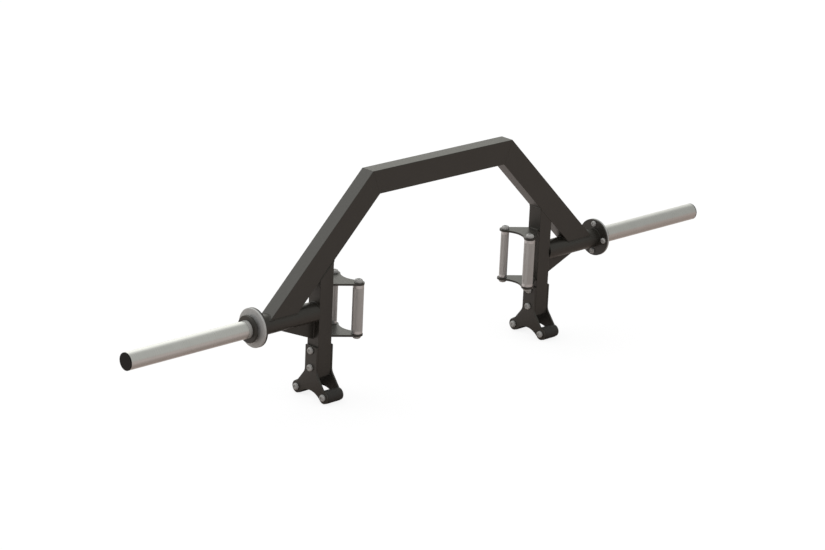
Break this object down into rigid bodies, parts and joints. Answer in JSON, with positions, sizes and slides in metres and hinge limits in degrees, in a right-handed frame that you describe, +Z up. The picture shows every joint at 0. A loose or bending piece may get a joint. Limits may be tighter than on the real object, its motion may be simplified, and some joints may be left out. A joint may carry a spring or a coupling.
{
  "type": "open-ended trap bar",
  "caption": "Open-ended trap bar: an arched welded frame with free-turning plate sleeves, upright thick and thin grips, and a toed stand that holds it off the floor.",
  "frame": {"origin": "on the floor, in the middle between the four toes, under the middle of the arch", "axes": "+X along the sleeves to the right end, +Y to the back, towards the thin grips, +Z up"},
  "size_m": [2.223, 0.151, 0.636],
  "materials": {
    "black_paint": "black powder coat",
    "black_rubber": "matt moulded rubber",
    "black_plastic": "matt plastic",
    "hard_chrome": "bright hard chrome",
    "machined_steel": "turned steel",
    "knurled_steel": "knurled, plated",
    "zinc_plate": "zinc plate",
    "pale_bushing": "smooth nylon"
  },
  "bodies": {
    "frame": {"arch_beam": "black_paint", "arch_leg_left": "black_paint", "arch_leg_right": "black_paint", "cross_pipe_left": "black_paint", "cross_pipe_right": "black_paint", "flange_bolt_back_left": "zinc_plate", "flange_bolt_back_right": "zinc_plate", "flange_bolt_bottom_left": "zinc_plate", "flange_bolt_bottom_right": "zinc_plate", "flange_bolt_front_left": "zinc_plate", "flange_bolt_front_right": "zinc_plate", "flange_bolt_top_left": "zinc_plate", "flange_bolt_top_right": "zinc_plate", "foot_plate_inner_left": "black_paint", "foot_plate_inner_right": "black_paint", "foot_plate_outer_left": "black_paint", "foot_plate_outer_right": "black_paint", "frame_flange_left": "black_paint", "frame_flange_right": "black_paint", "grip_bolt_thick_left": "zinc_plate", "grip_bolt_thick_right": "zinc_plate", "grip_bolt_thin_left": "zinc_plate", "grip_bolt_thin_right": "zinc_plate", "grip_thick_left": "knurled_steel", "grip_thick_right": "knurled_steel", "grip_thin_left": "knurled_steel", "grip_thin_right": "knurled_steel", "gusset_left": "black_paint", "gusset_right": "black_paint", "handle_plate_lower_left": "black_paint", "handle_plate_lower_right": "black_paint", "handle_plate_upper_left": "black_paint", "handle_plate_upper_right": "black_paint", "post_bolt_lower_left": "zinc_plate", "post_bolt_lower_right": "zinc_plate", "post_bolt_upper_left": "zinc_plate", "post_bolt_upper_right": "zinc_plate", "post_left": "black_paint", "post_right": "black_paint", "retaining_screw_left": "zinc_plate", "retaining_screw_right": "zinc_plate", "spindle_flange_left": "machined_steel", "spindle_flange_right": "machined_steel", "toe_bolt_back_left": "zinc_plate", "toe_bolt_back_right": "zinc_plate", "toe_bolt_front_left": "zinc_plate", "toe_bolt_front_right": "zinc_plate", "toe_pad_back_left": "black_rubber", "toe_pad_back_right": "black_rubber", "toe_pad_front_left": "black_rubber", "toe_pad_front_right": "black_rubber"},
    "sleeve_left": {"stop_collar_left": "black_paint", "sleeve_bushing_left": "pale_bushing", "sleeve_tube_left": "hard_chrome", "end_cap_left": "black_plastic"},
    "sleeve_right": {"stop_collar_right": "black_paint", "sleeve_bushing_right": "pale_bushing", "sleeve_tube_right": "hard_chrome", "end_cap_right": "black_plastic"}
  },
  "joints": [
    {"name": "sleeve_spin_left", "type": "hinge", "parent": "frame", "child": "sleeve_left", "pos_m": [-0.9, 0, 0.257], "axis": [1, 0, 0], "continuous": true},
    {"name": "sleeve_spin_right", "type": "hinge", "parent": "frame", "child": "sleeve_right", "pos_m": [0.9, 0, 0.257], "axis": [1, 0, 0], "continuous": true}
  ]
}
